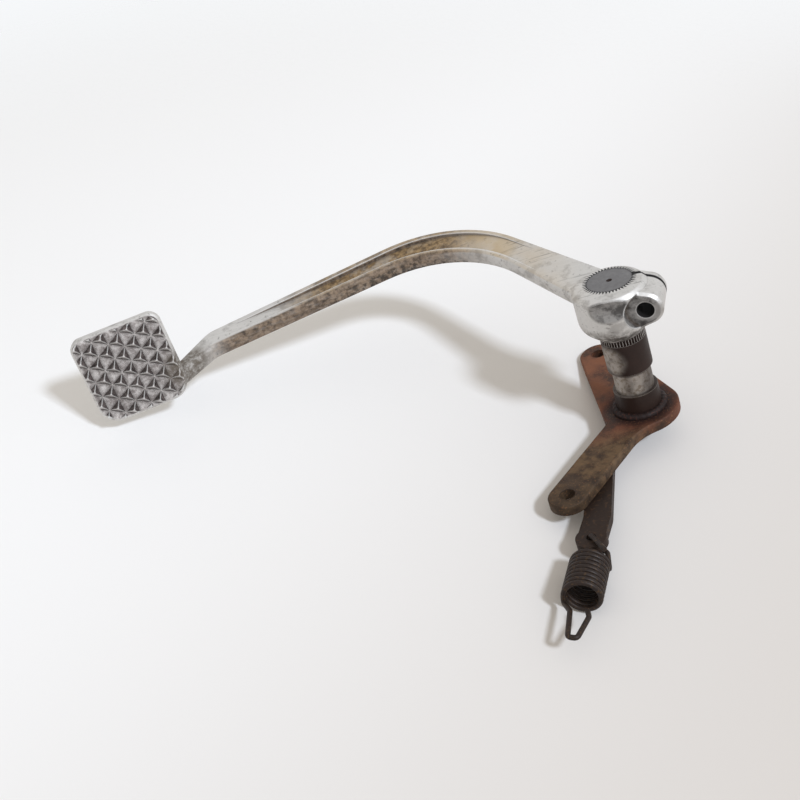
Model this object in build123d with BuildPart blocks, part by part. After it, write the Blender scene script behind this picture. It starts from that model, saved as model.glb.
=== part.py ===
"""Rear brake pedal: a forged lever on a serrated pivot shaft, with bellcrank plate and return spring."""
import os
from math import atan2, cos, degrees, hypot, radians, sin, sqrt, tan

from build123d import *

os.makedirs("parts", exist_ok=True)

# Pivot shaft, turned about Z, with the origin halfway along its journal
journal_d = 18.0
journal_length = 31.0
upper_land = 13.5
lower_land = 7.3
neck_d = 15.4
centre_mark_d = 2.6
centre_mark_depth = 1.2
serration_d = 18.0
serration_depth = 0.6
serration_count = 48
serration_length = 25.0
serration_clearance = 0.05
serration_relief = 0.6

# Split clamp boss of the lever, set off the shaft's axis, with the pinch bolt's lug beside it
boss_height = 21.0
boss_d = 29.0
boss_offset = (-0.8, -2.4)
boss_top_bevel = 1.5
boss_bottom_bevel = 5.5
boss_bottom_round = 7.0
boss_blend = 3.0
clamp_angle = -15.0
clamp_slot = 0.8
clamp_offset = 2.5
pinch_reach = 13.1
pinch_drop = 8.6
pinch_hole_d = 6.5
lug_d = 13.4
lug_root = 8.0
lug_sink = 0.3
lug_front = 11.7
lug_back = 7.5
lug_edge_round = 2.5
lug_edge_bevel = 1.3
spot_face_d = 15.0
scoop_d = 14.5
scoop_skew = 3.0
scoop_drop = 4.0
scoop_wall = 6.3
scoop_length = 25.0
scoop_end = 10.0

# Gooseneck arm, forged flat in a plane that leans outwards; its drop is measured at the boss's wall
arm_lean = 12.0
arm_drop = 4.9
arm_thickness = 7.4
arm_edge_round = 2.2
arm_root_width = 19.0
arm_corner = (-54.0, 71.6)
arm_corner_width = 15.8
arm_back_bend = 55.0
arm_front_bend = 50.0
arm_neck = (-168.0, 42.0)
arm_neck_width = 11.6
neck_back_bend = 11.0
neck_front_bend = 9.0
neck_back_foot = 5.0
neck_front_foot = 17.5

# Channel forged into both faces of the arm, fading out at both ends
channel_back_rim = 4.0
channel_front_rim = 2.6
channel_depth = 2.0
channel_start_x = -158.0
channel_end_x = -24.0

# Foot pad with rows of three-sided studs
pad_centre = (-197.4, 19.0, 51.4)
pad_yaw = 13.0
pad_pitch = 7.0
pad_size = 39.0
pad_thickness = 5.0
pad_outer_round = 5.0
pad_inner_round = 8.0
pad_edge_bevel = 0.9
stud_pitch = 6.7
stud_side = 6.3
stud_top_side = 0.7
stud_height = 1.7
stud_margin = 1.0

# Bellcrank plate welded to the inner end of the shaft
plate_thickness = 4.5
plate_lobe_d = 31.0
plate_edge_bevel = 0.5
ear_centre = (-10.2, 47.6)
ear_d = 16.4
ear_hole_d = 6.0
rod_centre = (-36.0, -46.0)
rod_arm_width = 15.4
rod_hole_d = 6.0
rod_arm_left_round = 5.0
rod_arm_right_round = 20.0
weld_leg = 2.5
seat_gap = 0.05

# Spring strip behind the plate
strip_thickness = 3.5
strip_width = 10.4
strip_root = (-21.6, -27.0)
strip_kink = (-27.2, -57.0)
strip_kink_round = 12.0
strip_end_d = 11.6
hook_centre = (-31.2, -68.0)
hook_hole_d = 3.6

# Return spring, close wound, hung by its upper hook and leaning to one side as it lies
wire_d = 2.0
wire_sides = 6
coil_d = 15.0
coil_turns = 8.5
coil_runs = 12
coil_gap = 0.1
coil_angle = -107.0
coil_lean = 10.0
coil_clearance = 2.7
hook_clearance = 0.35
hook_bend = 1.8
hook_reach = 8.6
hook_side = 6.6
knuckle_drop = 3.0
knuckle_bend = 1.3
loop_length = 19.5
loop_shoulder = 7.0
loop_tip = 6.0
loop_half_width = 2.9
loop_foot = 3.2
loop_bend = 1.3

# Levels along the shaft
journal_top = journal_length / 2
journal_bottom = -journal_length / 2
shaft_top = journal_top + serration_length
boss_bottom = shaft_top - boss_height
plate_top = journal_bottom - weld_leg
plate_bottom = plate_top - plate_thickness
strip_bottom = plate_bottom - strip_thickness
spring_level = strip_bottom - hook_clearance - wire_d / 2


def polar(length, angle):
    """Point at a distance and an angle in degrees from the origin."""
    return (length * cos(radians(angle)), length * sin(radians(angle)))


def serration_points(clearance, relief):
    """Tips and roots of the serrations in turn, grown by the clearance, the tips by the relief too."""
    root = serration_d / 2 - serration_depth + clearance
    tip = serration_d / 2 + clearance + relief
    step = 180 / serration_count
    return [polar(root if i % 2 else tip, i * step) for i in range(2 * serration_count)]


# Turned shaft with the two bearing lands and the relieved neck between them
with BuildPart() as pivot_shaft:
    with BuildSketch(Plane.XZ):
        with BuildLine():
            Polyline(
                (0, plate_bottom),
                (journal_d / 2, plate_bottom),
                (journal_d / 2, journal_bottom + lower_land),
                (neck_d / 2, journal_bottom + lower_land),
                (neck_d / 2, journal_top - upper_land),
                (journal_d / 2, journal_top - upper_land),
                (journal_d / 2, journal_top),
                (0, journal_top),
                close=True,
            )
        make_face()
    revolve(axis=Axis.Z)
    with BuildSketch(Plane.XY.offset(journal_top)):
        Polygon(*serration_points(0, 0), align=None)
    extrude(amount=serration_length)
    with Locations((0, 0, shaft_top)):
        Cone(0, centre_mark_d / 2, centre_mark_depth,
             align=(Align.CENTER, Align.CENTER, Align.MAX), mode=Mode.SUBTRACT)
pivot_shaft.part.label = "pivot_shaft"
export_step(pivot_shaft.part, "parts/pivot_shaft.step")

# Fillet weld round the shaft, on the plate's outer face
with BuildPart() as weld_bead:
    with BuildSketch(Plane.XZ):
        with Locations((journal_d / 2 + seat_gap, plate_top)):
            Polygon((0, 0), (weld_leg, 0), (0, weld_leg), align=None)
    revolve(axis=Axis.Z)
weld_bead.part.label = "weld_bead"
export_step(weld_bead.part, "parts/weld_bead.step")

# The arm's outline runs from the shaft axis round the bend to the back of the pad
arm_plane = Plane(
    origin=(0, 0, shaft_top - arm_drop - boss_d / 2 * tan(radians(arm_lean))),
    x_dir=(1, 0, 0),
    z_dir=(0, -sin(radians(arm_lean)), cos(radians(arm_lean))),
)
pad_plane = Plane(
    origin=pad_centre,
    x_dir=(cos(radians(pad_yaw)), sin(radians(pad_yaw)), 0),
    z_dir=(
        sin(radians(pad_yaw)) * cos(radians(pad_pitch)),
        -cos(radians(pad_yaw)) * cos(radians(pad_pitch)),
        sin(radians(pad_pitch)),
    ),
)
root_angle = degrees(atan2(arm_corner[1], arm_corner[0]))
neck_angle = degrees(atan2(arm_neck[1] - arm_corner[1], arm_neck[0] - arm_corner[0]))


def arm_sides(back_inset, front_inset):
    """Back and front points of the arm at the shaft, the bend and the neck, moved in by the insets."""
    stations = (
        ((0, 0), arm_root_width, root_angle - 90),
        (arm_corner, arm_corner_width, 90),
        (arm_neck, arm_neck_width, neck_angle - 90),
    )
    back, front = [], []
    for (x, y), width, across in stations:
        back_x, back_y = polar(width / 2 - back_inset, across)
        front_x, front_y = polar(width / 2 - front_inset, across)
        back.append((x + back_x, y + back_y))
        front.append((x - front_x, y - front_y))
    return back, front


def pad_foot(along):
    """Point of the arm's plane in the middle of the pad's thickness, at a distance along the pad."""
    inside = pad_plane.from_local_coords((along, 0, -pad_thickness / 2))
    down = Axis(inside, pad_plane.y_dir)
    crossing = arm_plane.intersect(down)
    return arm_plane.to_local_coords(crossing)


back_points, front_points = arm_sides(0, 0)
with BuildPart() as arm:
    with BuildSketch(arm_plane):
        with BuildLine():
            back = FilletPolyline(
                *back_points, pad_foot(neck_back_foot), radius=(arm_back_bend, neck_back_bend)
            )
            front = FilletPolyline(
                *front_points, pad_foot(neck_front_foot), radius=(arm_front_bend, neck_front_bend)
            )
            Line(back @ 0, front @ 0)
            Line(back @ 1, front @ 1)
        make_face()
    extrude(amount=arm_thickness / 2, both=True)
    fillet(arm.faces().filter_by(arm_plane).edges(), arm_edge_round)

# Channel on the outer face, as deep as a flat arc, mirrored to the inner face
channel_back, channel_front = arm_sides(channel_back_rim, channel_front_rim)
with BuildPart() as channel:
    with BuildSketch(arm_plane):
        with BuildLine():
            back = FilletPolyline(*channel_back, radius=arm_back_bend - channel_back_rim)
            front = FilletPolyline(*channel_front, radius=arm_front_bend + channel_front_rim)
            Line(back @ 0, front @ 0)
            Line(back @ 1, front @ 1)
        make_face()
    extrude(amount=arm_thickness)
    with BuildSketch(Plane(origin=arm_plane.origin, x_dir=arm_plane.x_dir, z_dir=-arm_plane.y_dir)):
        with BuildLine():
            floor = SagittaArc(
                (channel_start_x, arm_thickness / 2), (channel_end_x, arm_thickness / 2), -channel_depth
            )
            Polyline(
                floor @ 0, (channel_start_x, arm_thickness), (channel_end_x, arm_thickness), floor @ 1
            )
        make_face()
    extrude(amount=2 * arm_corner[1], both=True, mode=Mode.INTERSECT)
    mirror(about=arm_plane)


def pad_outline(inset):
    """Square of the pad, rounder towards the shaft, moved in by the inset."""
    Rectangle(pad_size - 2 * inset, pad_size - 2 * inset)
    fillet(vertices().group_by(Axis.Y)[-1], pad_outer_round - inset)
    fillet(vertices().group_by(Axis.Y)[0], pad_inner_round - inset)


# Foot pad, and the studs cut off square at its rim
with BuildPart() as pad:
    with BuildSketch(pad_plane):
        pad_outline(0)
    extrude(amount=-pad_thickness)
    chamfer(pad.faces().filter_by(pad_plane).edges(), pad_edge_bevel)


stud_column = stud_pitch * sqrt(3) / 2
stud_reach = int(pad_size / 2 / stud_column) + 1
stud_places = [
    (column * stud_column, (row + column % 2 / 2) * stud_pitch)
    for column in range(-stud_reach, stud_reach + 1)
    for row in range(-stud_reach, stud_reach + 1)
]
stud_taper = degrees(atan2((stud_side - stud_top_side) / sqrt(12), stud_height))
with BuildPart() as stud:
    with BuildSketch():
        RegularPolygon(stud_side / sqrt(3), 3, rotation=60)
    extrude(amount=stud_height, taper=stud_taper)
with BuildPart() as studs:
    with Locations(pad_plane):
        with Locations(*stud_places):
            add(stud.part)
    with BuildSketch(pad_plane):
        pad_outline(stud_margin)
    extrude(amount=stud_height, mode=Mode.INTERSECT)

# Boss, turned about its own axis
with BuildPart() as boss:
    with BuildSketch(Plane.XZ):
        with Locations((0, boss_bottom)):
            Rectangle(boss_d / 2, boss_height, align=(Align.MIN, Align.MIN))
        chamfer(vertices().group_by(Axis.X)[-1].sort_by(Axis.Y)[0], boss_bottom_bevel)
        fillet(vertices().group_by(Axis.X)[-1].sort_by(Axis.Y)[0], boss_bottom_round)
        chamfer(vertices().group_by(Axis.X)[-1].sort_by(Axis.Y)[-1], boss_top_bevel)
    revolve(axis=Axis.Z)

# Pinch lug that falls away from the boss, its bolt hole square to the clamp's slot
lug_plane = Plane(
    origin=(0, 0, shaft_top - pinch_drop),
    x_dir=(*polar(1, clamp_angle), 0),
    z_dir=(*polar(1, clamp_angle - 90), 0),
)
with BuildPart() as lug:
    with BuildSketch(lug_plane.offset(-lug_back)):
        with Locations((lug_root, 0)):
            Circle(pinch_drop - lug_sink)
        with Locations((pinch_reach, 0)):
            Circle(lug_d / 2)
        make_hull()
    extrude(amount=lug_front + lug_back)
    fillet(lug.faces().filter_by(lug_plane).sort_by(Axis.Y)[-1].edges(), lug_edge_round)
    chamfer(lug.faces().filter_by(lug_plane).sort_by(Axis.Y)[0].edges(), lug_edge_bevel)

# Scoop that clears the bolt's head, a round trough along the boss
scoop_angle = clamp_angle + scoop_skew
scoop_reach = serration_d / 2 + scoop_wall + scoop_d / 2
scoop_plane = Plane(
    origin=(*polar(scoop_reach, scoop_angle - 90), shaft_top - scoop_drop),
    x_dir=(0, 0, 1),
    z_dir=(*polar(1, scoop_angle), 0),
)

# The lever is one forging: arm, boss, lug and pad, then the machined cuts
with BuildPart() as pedal_lever:
    add(arm.part)
    add(channel.part, mode=Mode.SUBTRACT)
    with Locations((*boss_offset, 0)):
        add(boss.part)
    fillet(pedal_lever.edges(Select.NEW), boss_blend)
    add(lug.part)
    add(pad.part)
    add(studs.part)
    with BuildSketch(scoop_plane.offset(scoop_end - scoop_length)):
        Circle(scoop_d / 2)
    extrude(amount=scoop_length, mode=Mode.SUBTRACT)
    with BuildSketch(Plane.XY.offset(boss_bottom)):
        Polygon(*serration_points(serration_clearance, serration_relief), align=None)
        with Locations(polar(clamp_offset, clamp_angle + 90)):
            Rectangle(
                pinch_reach + lug_d,
                clamp_slot,
                rotation=clamp_angle,
                align=(Align.MIN, Align.CENTER),
            )
    extrude(amount=boss_height, mode=Mode.SUBTRACT)
    with BuildSketch(lug_plane.offset(-lug_back)):
        with Locations((pinch_reach, 0)):
            Circle(pinch_hole_d / 2)
    extrude(amount=lug_front + lug_back, mode=Mode.SUBTRACT)
    with BuildSketch(lug_plane.offset(lug_front)):
        with Locations((pinch_reach, 0)):
            Circle(spot_face_d / 2)
    extrude(amount=boss_d, mode=Mode.SUBTRACT)
pedal_lever.part.label = "pedal_lever"
export_step(pedal_lever.part, "parts/pedal_lever.step")


def beside_rod_arm(corner):
    """Whether a corner of the plate is where a side of the rod's arm leaves the lobe."""
    offset = abs(rod_centre[0] * corner.Y - rod_centre[1] * corner.X) / hypot(*rod_centre)
    return abs(2 * offset - rod_arm_width) < 0.01 and hypot(corner.X, corner.Y) < plate_lobe_d


# Bellcrank plate: a lobe on the shaft, a tapering ear behind it and the arm for the brake rod
with BuildPart() as brake_arm:
    with BuildSketch(Plane.XY.offset(plate_bottom)):
        with BuildLine():
            CenterArc((0, 0), plate_lobe_d / 2, 0, 360)
            CenterArc(ear_centre, ear_d / 2, 0, 360)
        make_hull()
        SlotCenterPoint((rod_centre[0] / 2, rod_centre[1] / 2), rod_centre, rod_arm_width)
        fillet(vertices().filter_by(beside_rod_arm).sort_by(Axis.X)[0], rod_arm_left_round)
        fillet(vertices().filter_by(beside_rod_arm), rod_arm_right_round)
    extrude(amount=plate_thickness)
    chamfer(brake_arm.faces().filter_by(Axis.Z).edges(), plate_edge_bevel)
    with BuildSketch(Plane.XY.offset(plate_bottom)):
        Circle(journal_d / 2 + seat_gap)
        with Locations(ear_centre):
            Circle(ear_hole_d / 2)
        with Locations(rod_centre):
            Circle(rod_hole_d / 2)
    extrude(amount=plate_thickness, mode=Mode.SUBTRACT)
brake_arm.part.label = "brake_arm"
export_step(brake_arm.part, "parts/brake_arm.step")

# Bent strip under the plate, with the hole for the spring's hook
with BuildPart() as spring_arm:
    with BuildSketch(Plane.XY.offset(strip_bottom)):
        with BuildLine():
            FilletPolyline(strip_root, strip_kink, hook_centre, radius=strip_kink_round)
        trace(line_width=strip_width)
        with Locations(strip_root):
            Circle(strip_width / 2)
        with Locations(hook_centre):
            Circle(strip_end_d / 2)
            Circle(hook_hole_d / 2, mode=Mode.SUBTRACT)
    extrude(amount=strip_thickness)
spring_arm.part.label = "spring_arm"
export_step(spring_arm.part, "parts/spring_arm.step")

# The spring hangs in the strip's hole; its coil and lower hook lean over a little
hook_plane = Plane(
    origin=(*hook_centre, spring_level), x_dir=(*polar(1, coil_angle), 0), z_dir=(0, 0, 1)
)
coil_plane = Plane(
    origin=hook_plane.origin,
    x_dir=hook_plane.x_dir,
    z_dir=(sin(radians(coil_lean)), 0, cos(radians(coil_lean))),
)
coil_r = (coil_d - wire_d) / 2
coil_pitch = wire_d + coil_gap
coil_start = strip_end_d / 2 + coil_clearance + wire_d / 2
coil_end = coil_start + coil_turns * coil_pitch
hook_top = strip_thickness + 2 * hook_clearance + wire_d


def spring_points(plane, *points):
    """Points of a hook, given along the coil, across it and up, in the part's frame."""
    return [plane.from_local_coords(point) for point in points]


# Upper hook: from the coil's side under the strip, up through the hole and back over the strip
upper_hook = spring_points(
    coil_plane, (coil_start, coil_r, wire_d / 2), (coil_start, coil_r + wire_d / 4, -knuckle_drop)
) + spring_points(
    hook_plane,
    (coil_start / 3, coil_r - wire_d / 2, 0),
    (0, 0, 0),
    (0, 0, hook_top),
    (hook_reach, hook_side, hook_top),
)
# Lower hook: a narrowing loop ahead of the coil, its tip turned back towards the coil
lower_hook = spring_points(
    coil_plane,
    (coil_end, -coil_r, wire_d / 2),
    (coil_end, -coil_r, -knuckle_drop),
    (coil_end + loop_shoulder, -loop_half_width, 0),
    (coil_end + loop_length, -loop_foot / 2, 0),
    (coil_end + loop_length, loop_foot / 2, 0),
    (coil_end + loop_shoulder + wire_d, loop_half_width + wire_d / 2, 0),
    (coil_end + loop_tip, loop_half_width, 0),
)

# The coil, wound about Z in short straight runs, its wire drawn six-sided
helix = Helix(coil_pitch, coil_turns * coil_pitch, coil_r)
coil_sections = round(coil_turns * coil_runs)
with BuildPart() as coil:
    for section in range(coil_sections + 1):
        along = section / coil_sections
        outwards = polar(1, 360 * coil_turns * along)
        with BuildSketch(Plane(helix @ along, x_dir=(*outwards, 0), z_dir=helix % along)):
            RegularPolygon(wire_d / 2, wire_sides)
    loft(ruled=True)

coil_seat = Plane(
    origin=coil_plane.from_local_coords((coil_start, 0, 0)),
    x_dir=coil_plane.y_dir,
    z_dir=coil_plane.x_dir,
)
with BuildPart() as return_spring:
    with Locations(coil_seat):
        add(coil.part)
    for points, bends in (
        (upper_hook, (knuckle_bend, knuckle_bend, hook_bend, hook_bend)),
        (lower_hook, (knuckle_bend, hook_bend, loop_bend, loop_bend, hook_bend)),
    ):
        with BuildLine():
            hook = FilletPolyline(*points, radius=bends)
        with BuildSketch(Plane(hook @ 0, z_dir=hook % 0)):
            RegularPolygon(wire_d / 2, wire_sides)
        sweep(path=hook)
return_spring.part.label = "return_spring"
export_step(return_spring.part, "parts/return_spring.step")
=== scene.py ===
"""Rear brake pedal: its worn finishes, the wound spring, the weld, the table, the light and the camera."""

import math

import bpy
from mathutils import Matrix, Vector


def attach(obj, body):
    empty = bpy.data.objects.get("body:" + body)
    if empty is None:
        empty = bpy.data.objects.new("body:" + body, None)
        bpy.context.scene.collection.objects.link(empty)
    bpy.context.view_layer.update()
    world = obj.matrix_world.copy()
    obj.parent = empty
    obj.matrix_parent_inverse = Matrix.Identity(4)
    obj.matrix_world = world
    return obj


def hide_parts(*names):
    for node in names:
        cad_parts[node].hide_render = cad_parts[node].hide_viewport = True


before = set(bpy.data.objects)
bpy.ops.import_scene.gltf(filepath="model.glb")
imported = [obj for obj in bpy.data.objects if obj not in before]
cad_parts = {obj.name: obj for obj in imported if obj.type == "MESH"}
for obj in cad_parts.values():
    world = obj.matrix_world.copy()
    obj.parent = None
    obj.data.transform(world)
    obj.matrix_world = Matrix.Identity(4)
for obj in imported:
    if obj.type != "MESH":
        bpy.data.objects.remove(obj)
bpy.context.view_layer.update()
MM = 0.001

# Kinds and settings of nodes that come up often
BUMP = "ShaderNodeBump"
MATH = "ShaderNodeMath"
MIX = "ShaderNodeMix"
NOISE = "ShaderNodeTexNoise"
OCCLUSION = "ShaderNodeAmbientOcclusion"
RANGE = "ShaderNodeMapRange"
VECTOR = "ShaderNodeVectorMath"
XYZ = "ShaderNodeSeparateXYZ"
NEARBY = {"samples": 8, "only_local": True}
RGBA = {"data_type": "RGBA"}
SOFT = {"interpolation_type": "SMOOTHSTEP"}


def linear(colour):
    """sRGB hex, such as "#c8c4c1", as linear RGBA."""
    parts = [int(colour[i:i + 2], 16) / 255 for i in (1, 3, 5)]
    return [p / 12.92 if p <= 0.04045 else ((p + 0.055) / 1.055) ** 2.4 for p in parts] + [1.0]


def feed(tree, made, inputs):
    """Sets a node's inputs, each to a value or to what feeds it, a node or one of its outputs."""
    for key, value in inputs.items():
        if isinstance(key, int):
            socket = made.inputs[key]
        else:
            socket = next(s for s in made.inputs if s.name == key and s.enabled)
        if isinstance(value, bpy.types.Node):
            value = next(s for s in value.outputs if s.enabled)
        if isinstance(value, bpy.types.NodeSocket):
            tree.links.new(value, socket)
        else:
            socket.default_value = value


def add(tree, kind, inputs=None, **settings):
    """Adds a node with its settings and inputs."""
    made = tree.nodes.new(kind)
    for name, value in settings.items():
        setattr(made, name, value)
    feed(tree, made, inputs or {})
    return made


def per_mm(size):
    """Scale that makes a pattern's features this many millimetres across."""
    return 1 / (size * MM)


def metres(place):
    """A place in millimetres, in metres."""
    return [c * MM for c in place]


def start(name):
    """A new material: itself, its nodes, its shader and its coordinates."""
    finish = bpy.data.materials.new(name)
    finish.use_nodes = True
    tree = finish.node_tree
    return finish, tree, tree.nodes["Principled BSDF"], add(tree, "ShaderNodeTexCoord")


def combine(tree, operation, *masks):
    """Folds masks into one: MULTIPLY where all of them hold, MAXIMUM where any does."""
    whole = masks[0]
    for mask in masks[1:]:
        whole = add(tree, MATH, {0: whole, 1: mask}, operation=operation)
    return whole


def stretch(tree, along, reach):
    """Fades in and out along an axis, at the four places of the reach: starts, full, still full, ended."""
    begin, full, last, end = metres(reach)
    fade_in = add(tree, RANGE, {0: along, 1: begin, 2: full}, **SOFT)
    fade_out = add(tree, RANGE, {0: along, 1: end, 2: last}, **SOFT)
    return combine(tree, "MULTIPLY", fade_in, fade_out)


def beside(tree, place, middle, run):
    """Distance from the line that goes through the middle and along the run."""
    off = add(tree, VECTOR, {0: place, 1: metres(middle)}, operation="SUBTRACT")
    across = add(tree, VECTOR, {0: off, 1: run}, operation="CROSS_PRODUCT")
    return add(tree, VECTOR, {0: across}, operation="LENGTH")


def coat(tree, colour, layers):
    """Paints layers over a colour, the lowest first; each layer is a mask and its paint."""
    for mask, paint in layers:
        colour = add(tree, MIX, {"Factor": mask, "A": colour, "B": paint}, **RGBA)
    return colour


# Where the solids have things in the frame: places and sizes in millimetres, runs and normals of length 1
shaft_middle = (0, 0, 0)
shaft_run = (0, 0, 1)
shaft_radius = 9.0
shaft_top = 40.5
plate_top = -18.0
arm_lean = math.radians(12)
arm_drop = 4.9
boss_radius = 14.5
arm_level = shaft_top - arm_drop - boss_radius * math.tan(arm_lean)
arm_normal = (0, -math.sin(arm_lean), math.cos(arm_lean))
pad_yaw = math.radians(13)
pad_pitch = math.radians(7)
pad_normal = (
    math.sin(pad_yaw) * math.cos(pad_pitch),
    -math.cos(pad_yaw) * math.cos(pad_pitch),
    math.sin(pad_pitch),
)
pad_centre = (-197.4, 19.0, 51.4)
pad_foot_place = (-176.5, 27, 43)
stud_underside = (-0.4635, -0.2153, -0.8595)
scoop_middle = (-4.69, -22.06, 36.5)
scoop_run = (0.9781, -0.2079, 0)
bolt_middle = (12.65, -3.39, 31.9)
bolt_run = (-0.2588, -0.9659, 0)
clamp_run = (0.9659, -0.2588, 0)
clamp_offset = 2.5
serration_count = 48

# Dirt, wear and painted shade, in millimetres: which way it comes from, where it lies and its reaches along X
wheel_and_shade_side = (0.25, -0.95, -0.2)
road_side = (0.1, -0.6, -0.79)
bush_patch_place = (-7.4, -5.2, 8.5)
film_reach = (-138, -95, -36, -4)
mud_reach = (-142, -112, -64, -40)
grime_and_shade_reach = (-176, -157, -72, -36)
tar_reach = (-125, -100, -60, -30)


def arm_dirt_and_shade(tree, coords, clouds, blotches, specks, rubs):
    """Masks of the arm: tan film, brown mud, grime from the wheel with painted shade on the side that looks
    forwards and down, flecks of tar.
    """
    place = coords.outputs["Object"]
    facing = coords.outputs["Normal"]
    along = add(tree, XYZ, {"Vector": place}).outputs["X"]

    # How deep a point lies in the channel, on faces that look along the arm's normal
    from_plane = add(tree, VECTOR, {0: place, 1: metres((0, 0, arm_level))}, operation="SUBTRACT")
    height = add(tree, VECTOR, {0: from_plane, 1: arm_normal}, operation="DOT_PRODUCT")
    half = add(tree, MATH, {0: height}, operation="ABSOLUTE")
    sunk = add(tree, RANGE, {0: half, 1: 3.6 * MM, 2: 2.6 * MM}, **SOFT)
    tilt = add(tree, VECTOR, {0: facing, 1: arm_normal}, operation="DOT_PRODUCT")
    upright = add(tree, MATH, {0: tilt}, operation="ABSOLUTE")
    on_face = add(tree, RANGE, {0: upright, 1: 0.4, 2: 0.75}, **SOFT)
    channel = combine(tree, "MULTIPLY", sunk, on_face)

    # Tan film round the bend, on the upper and lower faces, thicker in the channel
    film_stretch = stretch(tree, along, film_reach)
    film_noise = add(tree, RANGE, {0: clouds, 1: 0.36, 2: 0.6, 3: 0.25, 4: 1.0}, **SOFT)
    film_depth = add(tree, MATH, {0: channel, 1: 0.3, 2: 0.7}, operation="MULTIPLY_ADD")
    film = combine(tree, "MULTIPLY", film_depth, film_stretch, on_face, film_noise)

    # Brown mud left in the channel's bend, thinner on the flanges' tops
    mud_stretch = stretch(tree, along, mud_reach)
    mud_noise = add(tree, RANGE, {0: blotches, 1: 0.36, 2: 0.54, 3: 0.5, 4: 1.0}, **SOFT)
    flange_mud = combine(tree, "MULTIPLY", on_face, 0.75)
    mud_depth = add(tree, MATH, {0: channel, 1: 0.25, 2: flange_mud}, operation="MULTIPLY_ADD")
    mud = combine(tree, "MULTIPLY", mud_depth, mud_stretch, mud_noise)

    # Grime thrown up by the wheel, with painted shade, on the side that looks forwards and down
    front = add(tree, VECTOR, {0: facing, 1: wheel_and_shade_side}, operation="DOT_PRODUCT")
    on_shaded_side = add(tree, RANGE, {0: front, 1: 0.2, 2: 0.6}, **SOFT)
    side_shade_stretch = stretch(tree, along, grime_and_shade_reach)
    side_shade_noise = add(tree, RANGE, {0: rubs, 1: 0.3, 2: 0.55, 3: 0.82, 4: 1.0}, **SOFT)
    grime_and_side_shade = combine(tree, "MULTIPLY", on_shaded_side, side_shade_stretch, side_shade_noise)

    # Flecks of tar along the lower edge
    below = add(tree, VECTOR, {0: facing, 1: road_side}, operation="DOT_PRODUCT")
    low_side = add(tree, RANGE, {0: below, 1: 0.62, 2: 0.86}, **SOFT)
    tar_stretch = stretch(tree, along, tar_reach)
    tar_noise = add(tree, RANGE, {0: specks, 1: 0.46, 2: 0.58}, **SOFT)
    tar = combine(tree, "MULTIPLY", tar_stretch, low_side, tar_noise)
    return film, mud, grime_and_side_shade, tar


def pad_dirt_and_shade(tree, coords, corners):
    """Masks of the pad: all of it, the floor between the studs, their flanks in painted shade and dirt, their
    undersides in a painted highlight, and painted shadow and dirt in the grooves and at the studs' feet."""
    place = coords.outputs["Object"]
    facing = coords.outputs["Normal"]
    along = add(tree, XYZ, {"Vector": place}).outputs["X"]
    on_pad = add(tree, RANGE, {0: along, 1: -172.5 * MM, 2: -176.5 * MM}, **SOFT)

    # Height over the pad's floor
    from_pad = add(tree, VECTOR, {0: place, 1: metres(pad_centre)}, operation="SUBTRACT")
    stud = add(tree, VECTOR, {0: from_pad, 1: pad_normal}, operation="DOT_PRODUCT")
    level = add(tree, RANGE, {0: stud, 1: -0.3 * MM, 2: -0.05 * MM}, **SOFT)
    raised = add(tree, RANGE, {0: stud, 1: 0.0, 2: 0.12 * MM}, **SOFT)
    unworn = add(tree, RANGE, {0: stud, 1: 1.75 * MM, 2: 1.45 * MM}, **SOFT)
    at_foot = add(tree, RANGE, {0: stud, 1: 0.75 * MM, 2: 0.35 * MM}, **SOFT)

    # The flanks are darkened as painted shade and dirt, the undersides lightened as a painted highlight, and
    # the grooves and the studs' feet darkened as painted shadow and dirt
    under = add(tree, VECTOR, {0: facing, 1: stud_underside}, operation="DOT_PRODUCT")
    looks_down = add(tree, RANGE, {0: under, 1: 0.35, 2: 0.6}, **SOFT)
    in_groove = add(tree, RANGE, {0: corners, 1: 0.965, 2: 0.82}, **SOFT)
    floor = combine(tree, "MULTIPLY", level, on_pad)
    flank_shade_and_dirt = combine(tree, "MULTIPLY", raised, on_pad, unworn)
    underside_highlight = combine(tree, "MULTIPLY", flank_shade_and_dirt, looks_down)
    foot_shadow_and_dirt = combine(tree, "MULTIPLY", underside_highlight, at_foot)
    groove_shade = combine(tree, "MULTIPLY", in_groove, floor)
    groove_shade_and_dirt = combine(tree, "MAXIMUM", groove_shade, foot_shadow_and_dirt)
    return on_pad, floor, flank_shade_and_dirt, underside_highlight, groove_shade_and_dirt


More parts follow.
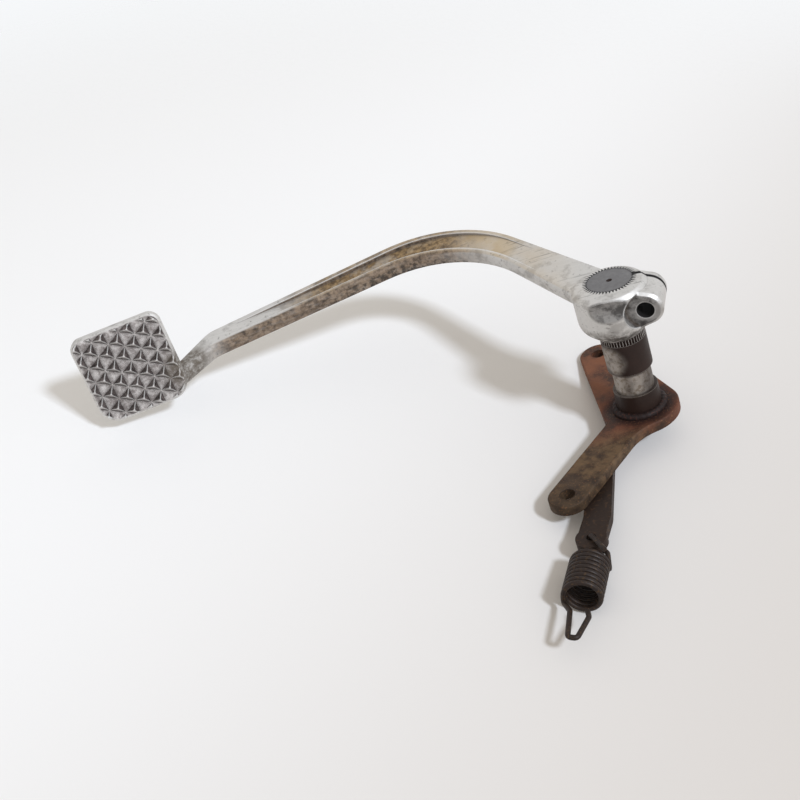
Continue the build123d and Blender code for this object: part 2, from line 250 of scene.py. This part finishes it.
def boss_dirt_and_shade(tree, coords, blotches, specks):
    """Masks of the clamp boss: soot under it, painted shade and old grease in its scoop and on the bolt
    hole's face, and painted shade, black, in its gaps."""
    place = coords.outputs["Object"]
    xyz = add(tree, XYZ, {"Vector": place})
    from_axis = beside(tree, place, shaft_middle, shaft_run)
    on_boss = add(tree, RANGE, {0: from_axis, 1: 34 * MM, 2: 28 * MM}, **SOFT)

    # Soot-dark mottling under the boss
    low_boss = add(tree, RANGE, {0: xyz.outputs["Z"], 1: 29 * MM, 2: 22 * MM}, **SOFT)
    boss_noise = add(tree, RANGE, {0: specks, 1: 0.4, 2: 0.54}, **SOFT)
    soot = combine(tree, "MULTIPLY", low_boss, on_boss, boss_noise)

    # Painted shade and old grease in the scoop and on the bolt hole's face
    scoop_radius = beside(tree, place, scoop_middle, scoop_run)
    in_scoop = add(tree, RANGE, {0: scoop_radius, 1: 8.2 * MM, 2: 7.1 * MM}, **SOFT)
    bolt_radius = beside(tree, place, bolt_middle, bolt_run)
    bolt_depth = add(tree, VECTOR, {0: place, 1: bolt_run}, operation="DOT_PRODUCT")
    before_face = add(tree, RANGE, {0: bolt_depth, 1: 11.4 * MM, 2: 11.6 * MM}, **SOFT)
    round_bolt = add(tree, RANGE, {0: bolt_radius, 1: 8.0 * MM, 2: 7.5 * MM}, **SOFT)
    bolt_face = combine(tree, "MULTIPLY", before_face, round_bolt)
    in_shaded_recess = combine(tree, "MAXIMUM", in_scoop, bolt_face)
    recess_noise = add(tree, RANGE, {0: blotches, 1: 0.38, 2: 0.62, 3: 1.0, 4: 0.42}, **SOFT)
    grease_and_recess_shade = combine(tree, "MULTIPLY", in_shaded_recess, on_boss, recess_noise)

    # Painted shade, black, along the clamp's slot, in the serrations' roots and in the bolt hole
    from_slot = add(tree, MATH, {0: bolt_depth, 1: clamp_offset * MM}, operation="ADD")
    beside_slot = add(tree, MATH, {0: from_slot}, operation="ABSOLUTE")
    at_slot = add(tree, RANGE, {0: beside_slot, 1: 1.1 * MM, 2: 0.75 * MM}, **SOFT)
    clamp_along = add(tree, VECTOR, {0: place, 1: clamp_run}, operation="DOT_PRODUCT")
    past_bore = add(tree, RANGE, {0: clamp_along, 1: 7.0 * MM, 2: 8.0 * MM}, **SOFT)
    slot = combine(tree, "MULTIPLY", at_slot, past_bore)
    bearing = add(tree, MATH, {0: xyz.outputs["Y"], 1: xyz.outputs["X"]}, operation="ARCTAN2")
    teeth = add(tree, MATH, {0: bearing, 1: serration_count}, operation="MULTIPLY")
    tooth = add(tree, MATH, {0: teeth}, operation="COSINE")
    root_radius = add(tree, MATH, {0: tooth, 1: 0.8 * MM, 2: 9.7 * MM}, operation="MULTIPLY_ADD")
    past_root = add(tree, MATH, {0: from_axis, 1: root_radius}, operation="SUBTRACT")
    in_root = add(tree, RANGE, {0: past_root, 1: 0.15 * MM, 2: -0.15 * MM}, **SOFT)
    in_hole = add(tree, RANGE, {0: bolt_radius, 1: 3.45 * MM, 2: 3.3 * MM}, **SOFT)
    gap_shade = combine(tree, "MAXIMUM", slot, in_root, in_hole)
    return soot, grease_and_recess_shade, gap_shade


def weathered_aluminium():
    """Forged aluminium, tumbled to a satin and then ridden in mud: silvery where boots rub, tan and brown
    where dried dirt has stained the channel;
    painted shade and dirt darken the corners and the studs' feet, and a painted highlight lightens the edges."""
    finish, tree, shader, coords = start("forged_aluminium_weathered")
    place = coords.outputs["Object"]
    # Clouds of dulled oxide, 24 mm across
    clouds = add(tree, NOISE, {"Vector": place, "Scale": per_mm(24), "Detail": 5.0})
    # Blotches of dried mud, 7 mm across
    blotches = add(tree, NOISE, {"Vector": place, "Scale": per_mm(7), "Detail": 7.0, "Roughness": 0.62})
    # Specks of grit, 2.4 mm across
    specks = add(tree, NOISE, {"Vector": place, "Scale": per_mm(2.4), "Detail": 6.0, "Roughness": 0.7})
    # Grain of the tumbled skin, 0.9 mm
    grain = add(tree, NOISE, {"Vector": place, "Scale": per_mm(0.9), "Detail": 3.0})
    # Rub marks along the arm, 26 mm long and 1.2 mm wide
    stretched = add(tree, "ShaderNodeMapping", {"Vector": place, "Scale": (1 / 26, 1 / 1.2, 1 / 1.2)})
    rubs = add(tree, NOISE, {"Vector": stretched, "Scale": per_mm(1), "Detail": 5.0, "Roughness": 0.6})
    # Corners within 3 mm, darkened as painted shade and dirt, and edges within 0.9 mm, rubbed bright by boots
    # and lightened as a painted highlight
    corners = add(tree, OCCLUSION, {"Distance": 3.0 * MM}, **NEARBY).outputs["AO"]
    edges = add(tree, OCCLUSION, {"Distance": 0.9 * MM}, inside=True, **NEARBY).outputs["AO"]
    corner_shade_and_dirt = add(tree, RANGE, {0: corners, 1: 0.85, 2: 0.45, 4: 0.6}, **SOFT)
    on_edge = add(tree, RANGE, {0: edges, 1: 0.88, 2: 0.5, 4: 0.75}, **SOFT)

    film, mud, grime_and_side_shade, tar = arm_dirt_and_shade(tree, coords, clouds, blotches, specks, rubs)
    on_pad, floor, flank_shade_and_dirt, underside_highlight, groove_shade_and_dirt = pad_dirt_and_shade(tree, coords, corners)
    soot, grease_and_recess_shade, gap_shade = boss_dirt_and_shade(tree, coords, blotches, specks)
    # Stray specks of grit and dark scuffs all over
    grit = add(tree, RANGE, {0: specks, 1: 0.6, 2: 0.72, 4: 0.7}, **SOFT)
    scuffs = add(tree, RANGE, {0: rubs, 1: 0.58, 2: 0.7, 4: 0.45}, **SOFT)
    black = combine(tree, "MAXIMUM", tar, grit, scuffs)
    # Dull tarnish between the rubbed places
    tarnish = add(tree, RANGE, {0: blotches, 1: 0.5, 2: 0.66, 4: 0.6}, **SOFT)
    # Packed dirt and painted shade where the arm's neck runs into the pad
    to_pad_foot = add(tree, VECTOR, {0: place, 1: metres(pad_foot_place)}, operation="DISTANCE")
    near_pad_foot = add(tree, RANGE, {0: to_pad_foot, 1: 14 * MM, 2: 6 * MM}, **SOFT)
    pad_join_noise = add(tree, RANGE, {0: specks, 1: 0.35, 2: 0.6, 3: 0.45, 4: 0.95}, **SOFT)
    packed_dirt_and_shade = combine(tree, "MULTIPLY", near_pad_foot, pad_join_noise)

    # Paints of two tones, then the layers in which they lie on the metal
    gritty = add(tree, RANGE, {0: specks, 1: 0.34, 2: 0.66}, **SOFT)
    bare = add(tree, MIX, {"Factor": clouds, "A": linear("#c2beb9"), "B": linear("#eae8e5")}, **RGBA)
    rubbed = add(tree, MIX, {"Factor": rubs, "A": linear("#aaa6a2"), "B": linear("#ffffff")}, **RGBA)
    metal = add(tree, MIX, {"Factor": 0.4, "A": bare, "B": rubbed}, blend_type="MULTIPLY", **RGBA)
    tan = add(tree, MIX, {"Factor": blotches, "A": linear("#ab9068"), "B": linear("#d2c4ad")}, **RGBA)
    brown = add(tree, MIX, {"Factor": gritty, "A": linear("#9f855f"), "B": linear("#574531")}, **RGBA)
    grime_and_shade_tone = add(tree, MIX, {"Factor": gritty, "A": linear("#8c7966"), "B": linear("#493c31")}, **RGBA)
    dulled = add(tree, MIX, {"Factor": gritty, "A": linear("#dcd7d4"), "B": linear("#928a87")}, **RGBA)
    flank_shade_tone = add(tree, MIX, {"Factor": gritty, "A": linear("#756b68"), "B": linear("#2a2321")}, **RGBA)
    sooted = add(tree, MIX, {"Factor": specks, "A": linear("#2b2723"), "B": linear("#8e8881")}, **RGBA)
    # Among these layers are painted shade in the corners, gaps, scoop, bolt face, studs' flanks and grooves,
    # at the neck's join and on the front face, and a painted highlight on the edges and the studs' undersides
    colour = coat(tree, metal, (
        (tarnish, linear("#918c87")),
        (film, tan),
        (mud, brown),
        (grime_and_side_shade, grime_and_shade_tone),
        (black, linear("#352e27")),
        (floor, dulled),
        (flank_shade_and_dirt, flank_shade_tone),
        (underside_highlight, linear("#b3adaa")),
        (groove_shade_and_dirt, linear("#332c2a")),
        (soot, sooted),
        (grease_and_recess_shade, linear("#312d2b")),
        (packed_dirt_and_shade, linear("#5c5348")),
        (corner_shade_and_dirt, linear("#54473a")),
        (on_edge, linear("#e6e4e1")),
        (gap_shade, linear("#15110f")),
    ))

    # Dirt and the painted shade take the shine away: less metal, more roughness
    dirt_and_shade = combine(tree, "MAXIMUM", mud, grime_and_side_shade, tar, corner_shade_and_dirt, packed_dirt_and_shade, groove_shade_and_dirt, grease_and_recess_shade, gap_shade)
    metallic = add(tree, RANGE, {0: dirt_and_shade, 3: 0.8, 4: 0.15})
    satin = add(tree, RANGE, {0: clouds, 1: 0.3, 2: 0.7, 3: 0.44, 4: 0.58})
    rough = add(tree, MATH, {0: dirt_and_shade, 1: 0.2, 2: satin}, operation="MULTIPLY_ADD")
    # Forged edges are rounder than the solids draw them: 0.9 mm, and 0.3 mm on the studs
    edge_size = add(tree, RANGE, {0: on_pad, 3: 0.9 * MM, 4: 0.3 * MM})
    rounded = add(tree, "ShaderNodeBevel", {"Radius": edge_size}, samples=6)
    skin = add(tree, BUMP, {"Height": grain, "Strength": 0.3, "Distance": 0.12 * MM, "Normal": rounded})
    crust = add(tree, BUMP, {"Height": blotches, "Strength": 0.3, "Distance": 0.5 * MM, "Normal": skin})
    feed(tree, shader, {"Base Color": colour, "Metallic": metallic, "Roughness": rough, "Normal": crust})
    return finish


def worn_shaft_steel():
    """Turned steel, blackened by heat and old grease: bright where a bush has rubbed it and on the
    serrations' tips, flat grey on its sawn end; on the neck, painted shade makes it darker towards +X."""
    finish, tree, shader, coords = start("turned_steel_blackened")
    place = coords.outputs["Object"]
    xyz = add(tree, XYZ, {"Vector": place})
    up = xyz.outputs["Z"]
    # Rust specks, 1.6 mm across, and patches of old grease, 9 mm
    specks = add(tree, NOISE, {"Vector": place, "Scale": per_mm(1.6), "Detail": 5.0, "Roughness": 0.6})
    patches = add(tree, NOISE, {"Vector": place, "Scale": per_mm(9), "Detail": 6.0, "Roughness": 0.6})
    # Turning marks round the shaft, drawn 3.14 mm apart because real ones are too fine to show;
    # at a scale of 1, a wave texture's bands are a twentieth of 2 pi apart
    wave_length = 2 * math.pi / 20
    wave = {"Vector": place, "Scale": wave_length * per_mm(3.14), "Distortion": 0.6}
    rings = add(tree, "ShaderNodeTexWave", wave, bands_direction="Z")
    edges = add(tree, OCCLUSION, {"Distance": 0.5 * MM}, inside=True, **NEARBY).outputs["AO"]
    on_edge = add(tree, RANGE, {0: edges, 1: 0.75, 2: 0.4, 4: 0.7}, **SOFT)
    rust = add(tree, RANGE, {0: specks, 1: 0.46, 2: 0.64}, **SOFT)

    # The relieved neck, rubbed bare, with painted shade that darkens it towards +X
    neck_low = add(tree, RANGE, {0: up, 1: -8.3 * MM, 2: -7.9 * MM})
    neck_high = add(tree, RANGE, {0: up, 1: 1.2 * MM, 2: 0.2 * MM})
    neck_shade_side = add(tree, RANGE, {0: xyz.outputs["X"], 1: 6.5 * MM, 2: 0.0, 3: 0.3, 4: 1.0}, **SOFT)
    neck_noise = add(tree, RANGE, {0: patches, 1: 0.3, 2: 0.52, 3: 0.4, 4: 1.0}, **SOFT)
    bare_neck = combine(tree, "MULTIPLY", neck_low, neck_high, neck_shade_side, neck_noise)
    # The silvery patch on the land above it
    to_patch = add(tree, VECTOR, {0: place, 1: metres(bush_patch_place)}, operation="DISTANCE")
    in_patch = add(tree, RANGE, {0: to_patch, 1: 8 * MM, 2: 3.5 * MM}, **SOFT)
    patch_noise = add(tree, RANGE, {0: patches, 1: 0.3, 2: 0.6, 3: 0.4, 4: 1.0}, **SOFT)
    bare_patch = combine(tree, "MULTIPLY", in_patch, patch_noise)
    # Edges below the boss, brightest on the serrations' tips, and the sawn end
    below_boss = add(tree, RANGE, {0: up, 1: 22 * MM, 2: 20.5 * MM}, **SOFT)
    bare_edges = combine(tree, "MULTIPLY", on_edge, below_boss)
    above_land = add(tree, RANGE, {0: up, 1: 15 * MM, 2: 16 * MM}, **SOFT)
    tooth_tips = combine(tree, "MULTIPLY", bare_edges, above_land)
    bare = combine(tree, "MAXIMUM", bare_neck, bare_patch, bare_edges)
    end_face = add(tree, RANGE, {0: up, 1: (shaft_top - 0.2) * MM, 2: (shaft_top - 0.05) * MM})

    black = add(tree, MIX, {"Factor": patches, "A": linear("#150d0b"), "B": linear("#34251f")}, **RGBA)
    steel = add(tree, MIX, {"Factor": rust, "A": linear("#a09890"), "B": linear("#82776b")}, **RGBA)
    sawn = add(tree, MIX, {"Factor": specks, "A": linear("#646262"), "B": linear("#838181")}, **RGBA)
    colour = coat(tree, black, ((bare, steel), (tooth_tips, linear("#dcd8d4")), (end_face, sawn)))
    shine = combine(tree, "MAXIMUM", bare, end_face)
    metallic = add(tree, RANGE, {0: shine, 3: 0.1, 4: 0.9})
    rough = add(tree, RANGE, {0: patches, 1: 0.3, 2: 0.7, 3: 0.36, 4: 0.55})
    marks = add(tree, BUMP, {"Height": rings, "Strength": 0.2, "Distance": 0.05 * MM})
    pits = add(tree, BUMP, {"Height": specks, "Strength": 0.35, "Distance": 0.2 * MM, "Normal": marks})
    feed(tree, shader, {"Base Color": colour, "Metallic": metallic, "Roughness": rough, "Normal": pits})
    feed(tree, shader, {"Specular IOR Level": 0.2})
    return finish


def rusted_plate_steel():
    """Pressed steel plate whose plating has gone: a skin of brown rust, redder and darker round the weld,
    where its heat burnt the plating off and painted shadow lies at the shaft's foot, olive on the arm, dark
    along the sheared edges."""
    finish, tree, shader, coords = start("pressed_steel_rusted")
    place = coords.outputs["Object"]
    along = add(tree, XYZ, {"Vector": place}).outputs["Y"]
    # Rust bloom, 11 mm across, runs of stain, 4 mm, and the rust's crumbs, 0.9 mm
    bloom = add(tree, NOISE, {"Vector": place, "Scale": per_mm(11), "Detail": 6.0, "Roughness": 0.6})
    runs = add(tree, NOISE, {"Vector": place, "Scale": per_mm(4), "Detail": 6.0, "Roughness": 0.55})
    crumbs = add(tree, NOISE, {"Vector": place, "Scale": per_mm(0.9), "Detail": 4.0, "Roughness": 0.6})
    blooming = add(tree, RANGE, {0: bloom, 1: 0.34, 2: 0.64}, **SOFT)
    running = add(tree, RANGE, {0: runs, 1: 0.3, 2: 0.7}, **SOFT)
    stain = add(tree, RANGE, {0: bloom, 1: 0.5, 2: 0.36, 4: 0.6}, **SOFT)
    ochre = add(tree, RANGE, {0: crumbs, 1: 0.55, 2: 0.7, 4: 0.6}, **SOFT)
    # The weld's heat tint with painted shadow round the shaft's foot, wide and near, then the arm for the
    # brake rod, its end, and the edges
    radius = beside(tree, place, shaft_middle, shaft_run)
    heat_tint_and_shadow = add(tree, RANGE, {0: radius, 1: 20 * MM, 2: 11 * MM, 4: 0.85}, **SOFT)
    scorch_and_shadow = add(tree, RANGE, {0: radius, 1: 16 * MM, 2: 11.5 * MM, 4: 0.8}, **SOFT)
    rod_arm = add(tree, RANGE, {0: along, 1: -10 * MM, 2: -24 * MM}, **SOFT)
    rod_end = add(tree, RANGE, {0: along, 1: -34 * MM, 2: -50 * MM, 4: 0.6}, **SOFT)
    edges = add(tree, OCCLUSION, {"Distance": 0.9 * MM}, inside=True, **NEARBY).outputs["AO"]
    on_edge = add(tree, RANGE, {0: edges, 1: 0.85, 2: 0.5, 4: 0.65}, **SOFT)

    red = add(tree, MIX, {"Factor": blooming, "A": linear("#452a1f"), "B": linear("#7a4f3a")}, **RGBA)
    olive = add(tree, MIX, {"Factor": running, "A": linear("#33251a"), "B": linear("#65503a")}, **RGBA)
    burnt_and_shaded = add(tree, MIX, {"Factor": blooming, "A": linear("#1d100c"), "B": linear("#4c2219")}, **RGBA)
    colour = coat(tree, red, (
        (rod_arm, olive),
        (heat_tint_and_shadow, burnt_and_shaded),
        (scorch_and_shadow, linear("#180d0a")),
        (rod_end, linear("#2a2019")),
        (stain, linear("#33251c")),
        (ochre, linear("#7f5a3d")),
        (on_edge, linear("#241a15")),
    ))
    rough = add(tree, RANGE, {0: bloom, 1: 0.3, 2: 0.7, 3: 0.55, 4: 0.78})
    scale = add(tree, BUMP, {"Height": runs, "Strength": 0.4, "Distance": 0.4 * MM})
    grit = add(tree, BUMP, {"Height": crumbs, "Strength": 0.4, "Distance": 0.2 * MM, "Normal": scale})
    feed(tree, shader, {"Base Color": colour, "Metallic": 0.1, "Roughness": rough, "Normal": grit})
    feed(tree, shader, {"Specular IOR Level": 0.25})
    return finish


def browned_steel(name, dark, light, fleck, shine, grain_mm):
    """Steel under old oil and rust, nearly black: the strip, the weld and the spring wire differ in tone,
    in the colour of the rust flecks, in shine and in how coarse their skin is."""
    finish, tree, shader, coords = start(name)
    place = coords.outputs["Object"]
    tone = add(tree, NOISE, {"Vector": place, "Scale": per_mm(6 * grain_mm), "Detail": 5.0})
    flecks = add(tree, NOISE, {"Vector": place, "Scale": per_mm(grain_mm), "Detail": 4.0})
    fleck_here = add(tree, RANGE, {0: flecks, 1: 0.54, 2: 0.66}, **SOFT)
    colour = coat(tree, linear(dark), ((tone, linear(light)), (fleck_here, linear(fleck))))
    rough = add(tree, RANGE, {0: tone, 1: 0.3, 2: 0.7, 3: shine, 4: shine + 0.2})
    skin = add(tree, BUMP, {"Height": flecks, "Strength": 0.35, "Distance": 0.12 * MM})
    feed(tree, shader, {"Base Color": colour, "Metallic": 0.2, "Roughness": rough, "Normal": skin})
    feed(tree, shader, {"Specular IOR Level": 0.3})
    return finish


strip_steel = browned_steel("strip_steel_browned", "#1a110d", "#33241b", "#3d2b1e", 0.5, 1.4)
weld_steel = browned_steel("weld_steel_scaled", "#120a08", "#271613", "#3b1f17", 0.55, 1.0)
wire_steel = browned_steel("spring_wire_oiled", "#150d0a", "#30231c", "#41301f", 0.38, 0.9)
for node, finish in (
    ("pedal_lever", weathered_aluminium()),
    ("pivot_shaft", worn_shaft_steel()),
    ("brake_arm", rusted_plate_steel()),
    ("spring_arm", strip_steel),
):
    for material_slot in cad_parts[node].material_slots:
        material_slot.material = finish
bpy.ops.object.select_all(action="DESELECT")


# Spring: a point wound into the coil's line, drawn out into both hooks, then thickened to round wire
wire_radius = 0.96
coil_radius = 6.44
coil_pitch = 2.1
coil_turns = 8.5
steps_per_turn = 40
coil_start = 9.5
coil_length = coil_turns * coil_pitch
coil_end = coil_start + coil_length
coil_lean = math.radians(10)
hook_place = (-31.2, -68, -27.35)
hook_angle = math.radians(-107)
hook_frame = Matrix.Translation(metres(hook_place)) @ Matrix.Rotation(hook_angle, 4, "Z")
coil_up = Vector((math.sin(coil_lean), 0, math.cos(coil_lean)))
coil_side = coil_up.cross(hook_frame.col[0].to_3d()).normalized()
coil_turn = Matrix((coil_side.cross(coil_up), coil_side, coil_up)).transposed()
coil_frame = Matrix.Translation(hook_frame.translation) @ coil_turn.to_4x4()
bpy.ops.mesh.primitive_plane_add(size=wire_radius * MM)
spring = bpy.context.object
spring.name = "return_spring_wire"
bpy.ops.object.mode_set(mode="EDIT")
bpy.ops.mesh.merge(type="CENTER")
bpy.ops.transform.translate(value=(coil_radius * MM, 0, 0))
bpy.ops.object.mode_set(mode="OBJECT")
winding = spring.modifiers.new("winding", "SCREW")
winding.angle = 2 * math.pi * coil_turns
winding.screw_offset = coil_length * MM
winding.steps = round(coil_turns * steps_per_turn)
winding.render_steps = winding.steps
winding.use_merge_vertices = False
bpy.ops.object.modifier_apply(modifier="winding")
laid_down = Matrix(((0, 0, 1, 0), (1, 0, 0, 0), (0, 1, 0, 0), (0, 0, 0, 1)))
spring.matrix_world = coil_frame @ Matrix.Translation((coil_start * MM, 0, 0)) @ laid_down
bpy.ops.object.transform_apply(location=True, rotation=True, scale=True)

# Route of each hook, from the coil's end on: frame, millimetres along, across and up, and bend radius
upper_route = (
    (coil_frame, (coil_start, 7.0, -3.0), 1.3),
    (hook_frame, (3.17, 5.5, 0.0), 1.3),
    (hook_frame, (0.0, 0.0, 0.0), 1.8),
    (hook_frame, (0.0, 0.0, 6.2), 1.8),
    (hook_frame, (8.6, 6.6, 6.2), 0.0),
)
lower_route = (
    (coil_frame, (coil_end, -6.5, -3.0), 1.3),
    (coil_frame, (coil_end + 7.0, -2.9, 0.0), 1.8),
    (coil_frame, (coil_end + 19.5, -1.6, 0.0), 1.3),
    (coil_frame, (coil_end + 19.5, 1.6, 0.0), 1.3),
    (coil_frame, (coil_end + 9.0, 3.9, 0.0), 1.8),
    (coil_frame, (coil_end + 6.0, 2.9, 0.0), 0.0),
)


def pick(piece, place):
    """In edit mode, selects the one vertex of the piece that is nearest to the place."""
    bpy.ops.mesh.select_all(action="DESELECT")
    bpy.ops.object.mode_set(mode="OBJECT")
    nearest = min(piece.data.vertices, key=lambda vertex: (vertex.co - place).length)
    nearest.select = True
    bpy.ops.object.mode_set(mode="EDIT")


def draw_out(piece, begin, route):
    """Extrudes the wire's line from its end along the route, then rounds each corner to its bend."""
    places = [begin] + [origin @ (Vector(point) * MM) for origin, point, bend in route]
    bpy.ops.object.mode_set(mode="EDIT")
    bpy.ops.mesh.select_mode(type="VERT")
    pick(piece, begin)
    for here, there in zip(places, places[1:]):
        bpy.ops.mesh.extrude_vertices_move(TRANSFORM_OT_translate={"value": there - here})
    for before, corner, after, (origin, point, bend) in zip(places, places[1:], places[2:], route):
        turn = (corner - before).angle(after - corner)
        pick(piece, corner)
        bpy.ops.mesh.bevel(offset=bend * MM * math.tan(turn / 2), segments=6, affect="VERTICES")
    bpy.ops.object.mode_set(mode="OBJECT")


draw_out(spring, coil_frame @ (Vector((coil_start, coil_radius, 0)) * MM), upper_route)
draw_out(spring, coil_frame @ (Vector((coil_end, -coil_radius, 0)) * MM), lower_route)
bpy.ops.object.convert(target="CURVE")
spring.data.bevel_depth = wire_radius * MM
spring.data.bevel_resolution = 4
spring.data.use_fill_caps = True
bpy.ops.object.convert(target="MESH")
bpy.ops.object.shade_smooth_by_angle(angle=math.radians(50))
spring.data.materials.clear()
spring.data.materials.append(wire_steel)
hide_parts("return_spring")
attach(spring, "spring")
bpy.ops.object.select_all(action="DESELECT")

# Weld: a bead laid round the shaft in overlapping ripples, cut off level with the plate
bead_radius = 1.75 * MM
bead_offset = 0.45 * MM
bead_foot = plate_top * MM
ripples = 26
rings_per_ripple = 6
ripple_lean = 0.5
ring_swells = {0: 0.05, 1: 0.09, 2: 0.06, 4: -0.07, 5: -0.03}
bpy.ops.mesh.primitive_torus_add(
    major_segments=ripples * rings_per_ripple,
    minor_segments=20,
    major_radius=shaft_radius * MM + bead_offset,
    minor_radius=bead_radius,
    location=(0, 0, bead_foot + bead_offset),
)
weld = bpy.context.object
weld.name = "weld_bead_rippled"
bpy.ops.object.transform_apply(location=True)
for ring, swell in ring_swells.items():
    bpy.ops.object.mode_set(mode="EDIT")
    bpy.ops.mesh.select_mode(type="VERT")
    bpy.ops.mesh.select_all(action="DESELECT")
    bpy.ops.object.mode_set(mode="OBJECT")
    for vertex in weld.data.vertices:
        lean = (vertex.co.z - bead_foot) / bead_radius * ripple_lean
        turn = math.atan2(vertex.co.y, vertex.co.x) / (2 * math.pi) * ripples * rings_per_ripple
        vertex.select = round(turn + lean) % rings_per_ripple == ring
    bpy.ops.object.mode_set(mode="EDIT")
    bpy.ops.transform.shrink_fatten(value=swell * MM)
    bpy.ops.object.mode_set(mode="OBJECT")
bpy.ops.object.mode_set(mode="EDIT")
bpy.ops.mesh.select_all(action="SELECT")
bpy.ops.mesh.bisect(plane_co=(0, 0, bead_foot), plane_no=(0, 0, 1), clear_inner=True, use_fill=False)
bpy.ops.mesh.select_all(action="SELECT")
bpy.ops.mesh.normals_make_consistent(inside=False)
bpy.ops.object.mode_set(mode="OBJECT")
bpy.ops.object.shade_smooth()
weld.data.materials.append(weld_steel)
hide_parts("weld_bead")
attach(weld, "pedal")
bpy.ops.object.select_all(action="DESELECT")

# Table: pale, tilted as the pedal lies on it, painted darker towards the right and front as painted falloff
# of light, seen only from above and fading out at its rim
table_normal = Vector((0.25, -0.13, 0.96)).normalized()
table_level = -30.8 * MM
table_radius = 0.75
rim_begin = 0.34
rim_end = 0.7
table_point = Vector((-95 * MM, -10 * MM, 0))
table_point += table_normal * (table_level - table_normal.dot(table_point))
table_turn = table_normal.to_track_quat("Z", "Y").to_matrix().to_4x4()
bpy.ops.mesh.primitive_circle_add(vertices=128, radius=table_radius, fill_type="NGON")
table = bpy.context.object
table.name = "table"
table.matrix_world = Matrix.Translation(table_point) @ table_turn
finish, tree, shader, coords = start("table_white_matt")
# Painted falloff of light: the table's colour darkens towards the right and front
falloff_run = table.matrix_world.to_3x3().inverted() @ Vector((0.8, -0.6, 0))
run = add(tree, VECTOR, {0: coords.outputs["Object"], 1: falloff_run}, operation="DOT_PRODUCT")
painted_falloff = add(tree, RANGE, {0: run, 1: -0.14, 2: 0.24}, **SOFT)
pale = add(tree, MIX, {"Factor": painted_falloff, "A": linear("#f3f4f5"), "B": linear("#cfcac5")}, **RGBA)
feed(tree, shader, {"Base Color": pale, "Roughness": 0.8, "Specular IOR Level": 0.2})
out = add(tree, VECTOR, {0: coords.outputs["Object"]}, operation="LENGTH")
rim = add(tree, RANGE, {0: out, 1: rim_begin, 2: rim_end}, **SOFT)
behind = add(tree, "ShaderNodeNewGeometry").outputs["Backfacing"]
hidden = combine(tree, "MAXIMUM", rim, behind)
clear = add(tree, "ShaderNodeBsdfTransparent")
shown = add(tree, "ShaderNodeMixShader", {0: hidden, 1: shader, 2: clear})
feed(tree, tree.nodes["Material Output"], {"Surface": shown})
table.data.materials.append(finish)

# Light: even daylight from all round, and one soft window at the right that throws the shadows
world = bpy.data.worlds.new("daylight")
bpy.context.scene.world = world
world.use_nodes = True
tree = world.node_tree
around = tree.nodes["Background"]
feed(tree, around, {"Color": linear("#fff8ef"), "Strength": 0.66})
backdrop = add(tree, "ShaderNodeBackground", {"Color": linear("#f7f9fb"), "Strength": 1.0})
path = add(tree, "ShaderNodeLightPath")
seen_by = [path.outputs[ray] for ray in ("Is Camera Ray", "Is Glossy Ray", "Is Transmission Ray")]
seen = combine(tree, "MAXIMUM", *seen_by)
both = add(tree, "ShaderNodeMixShader", {0: seen, 1: around, 2: backdrop})
feed(tree, tree.nodes["World Output"], {"Surface": both})
window_from = Vector((0.62, -0.55, 0.56)).normalized()
window_distance = 3
window_side = 0.36
window_turn = window_from.to_track_quat("Z", "Y").to_matrix().to_4x4()
bpy.ops.object.light_add(type="AREA")
window = bpy.context.object
window.name = "window"
window.data.shape = "RECTANGLE"
window.data.size = window_side
window.data.size_y = window_side
window.data.energy = 60
window.data.color = linear("#e9f2ff")[:3]
window.matrix_world = Matrix.Translation(table_point + window_from * window_distance) @ window_turn

# Camera: where the photograph was taken from, by its own right, up and back
camera_place = Vector((-17.1, -394.9, 245.7)) * MM
camera_right = Vector((0.952, 0, -0.3065))
camera_up = Vector((0.261, 0.525, 0.8104))
camera_back = Vector((0.161, -0.851, 0.4995))
camera_turn = Matrix((camera_right, camera_up, camera_back)).transposed().to_4x4()
bpy.ops.object.camera_add()
camera = bpy.context.object
camera.name = "camera"
camera.data.sensor_width = 36
camera.data.lens = 51.75
camera.data.clip_start = 0.01
camera.matrix_world = Matrix.Translation(camera_place) @ camera_turn
bpy.context.scene.camera = camera
bpy.context.scene.view_settings.view_transform = "Standard"
